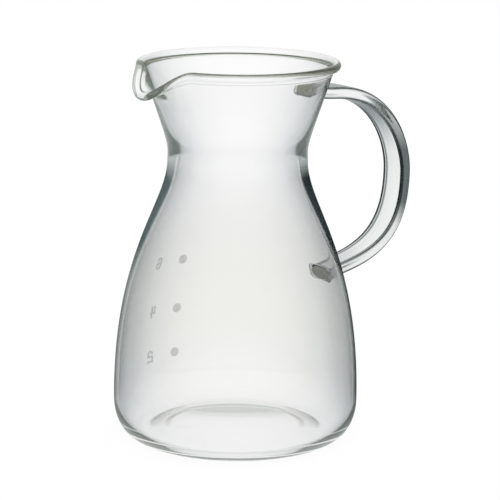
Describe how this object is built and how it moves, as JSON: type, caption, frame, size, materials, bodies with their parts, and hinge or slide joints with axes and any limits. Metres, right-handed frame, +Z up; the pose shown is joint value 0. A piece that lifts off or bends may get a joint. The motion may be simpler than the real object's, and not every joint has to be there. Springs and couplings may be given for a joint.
{
  "type": "coffee server carafe",
  "caption": "Clear glass coffee server with a narrow waist, a rolled lip, a pulled spout, a fused bow handle and level dots.",
  "frame": {"origin": "centre of the foot ring, on the plane the vessel stands on", "axes": "+Z up along the vessel's axis, +X from the axis to the handle, -X to the spout, +Y to the level dots"},
  "size_m": [0.1556, 0.1164, 0.18],
  "materials": {
    "clear_glass": "blown, fire-polished, clear",
    "rod_glass": "drawn and pressed rod, fire-polished, clear",
    "weld_glass": "fused, slightly uneven, clear",
    "fired_enamel": "fired screen print, satin"
  },
  "bodies": {
    "root": {"vessel": "clear_glass", "handle": "rod_glass", "upper_weld": "weld_glass", "lower_weld": "weld_glass", "dot_upper": "fired_enamel", "dot_middle": "fired_enamel", "dot_lower": "fired_enamel", "cup_numerals": "fired_enamel"}
  },
  "joints": []
}
